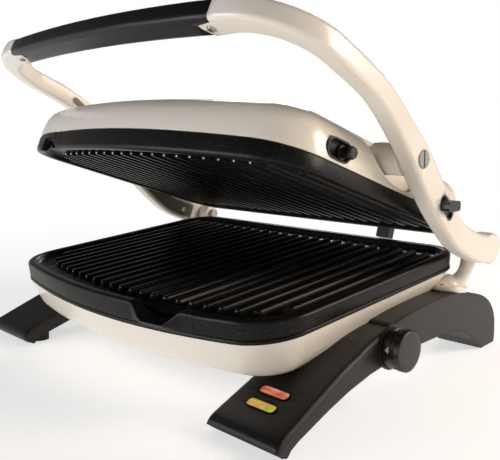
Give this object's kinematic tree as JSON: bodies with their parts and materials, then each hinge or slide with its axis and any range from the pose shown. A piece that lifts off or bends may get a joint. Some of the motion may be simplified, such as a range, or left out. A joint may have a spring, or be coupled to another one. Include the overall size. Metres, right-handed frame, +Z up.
{
  "type": "electric indoor grill with lid",
  "caption": "Countertop electric contact grill: ribbed cast plates in a moulded bowl on arched legs, hinged lid carried by a U-shaped handle frame, heat dial and pilot lamps.",
  "frame": {"origin": "centre of the outer box at the table, under the feet, with the lid held part open", "axes": "+Z up, -Y towards the cook (the pouring spout and handle side), +X to the side with the heat dial"},
  "size_m": [0.3493, 0.2907, 0.2477],
  "materials": {
    "cream_plastic": "gloss moulded, fine grain",
    "nonstick_cast": "die-cast with a black non-stick coating",
    "leg_plastic": "matte moulded",
    "cover_plastic": "matte moulded",
    "boot_plastic": "matte moulded",
    "dial_plastic": "satin moulded",
    "grip_plastic": "satin moulded",
    "liner_plastic": "matte moulded",
    "latch_plastic": "satin moulded",
    "steel": "zinc plated",
    "post_ceramic": "unglazed",
    "reflector_sheet": "pressed sheet",
    "element_sheath": "oxidised tube",
    "rubber": "matte",
    "red_lens": "translucent ribbed",
    "green_lens": "translucent ribbed",
    "lamp_glass": "small neon tube",
    "thermostat_case": "pressed case"
  },
  "bodies": {
    "base": {"base_shell": "cream_plastic", "base_floor": "leg_plastic", "floor_screws": "steel", "plate_posts": "post_ceramic", "lower_reflector": "reflector_sheet", "lower_element": "element_sheath", "lower_plate": "nonstick_cast", "leg_left": "leg_plastic", "leg_right": "leg_plastic", "control_cover": "cover_plastic", "leg_cover_left": "leg_plastic", "leg_cover_right": "leg_plastic", "leg_screws": "steel", "rubber_feet": "rubber", "post_left": "cream_plastic", "post_right": "cream_plastic", "post_screws": "steel", "hinge_pins": "steel", "thermostat": "thermostat_case", "dial_bezel": "dial_plastic", "power_lens": "red_lens", "ready_lens": "green_lens", "lamps": "lamp_glass", "cord_gland": "boot_plastic"},
    "dial": {"dial": "dial_plastic", "dial_shaft": "steel"},
    "handle": {"arm_left": "cream_plastic", "arm_right": "cream_plastic", "arm_liner_left": "liner_plastic", "arm_liner_right": "liner_plastic", "liner_screws": "steel", "grip": "grip_plastic", "grip_screws": "steel", "pivot_screws": "steel", "latch_slot": "latch_plastic"},
    "latch": {"latch": "latch_plastic"},
    "lid": {"lid_shell": "cream_plastic", "upper_plate": "nonstick_cast", "upper_element": "element_sheath", "upper_reflector": "reflector_sheet", "lid_posts": "post_ceramic", "pivot_ear_left": "cream_plastic", "pivot_ear_right": "cream_plastic", "lid_dish": "latch_plastic", "lead_boot": "boot_plastic"},
    "lid_slide": {"lid_slide": "latch_plastic"}
  },
  "joints": [
    {"name": "handle_hinge", "type": "hinge", "parent": "base", "child": "handle", "pos_m": [0, 0.09234, 0.088], "axis": [1, 0, 0], "range_deg": [-65, 25.3]},
    {"name": "lid_tilt", "type": "hinge", "parent": "handle", "child": "lid", "pos_m": [0, -0.00866, 0.157], "axis": [1, 0, 0], "range_deg": [-3, 7]},
    {"name": "dial_turn", "type": "hinge", "parent": "base", "child": "dial", "pos_m": [0.15706, -0.02666, 0.0375], "axis": [1, 0, 0], "range_deg": [-120, 150]},
    {"name": "latch_move", "type": "slide", "parent": "handle", "child": "latch", "axis": [0, -0.6691, 0.7431], "range_m": [-0.006, 0.002]},
    {"name": "lid_slide_move", "type": "slide", "parent": "lid", "child": "lid_slide", "axis": [0, 0.9538, -0.3004], "range_m": [-0.0105, 0]}
  ],
  "couplings": [
    {"joint": "lid_tilt", "follows": "handle_hinge", "ratio": -0.099}
  ]
}
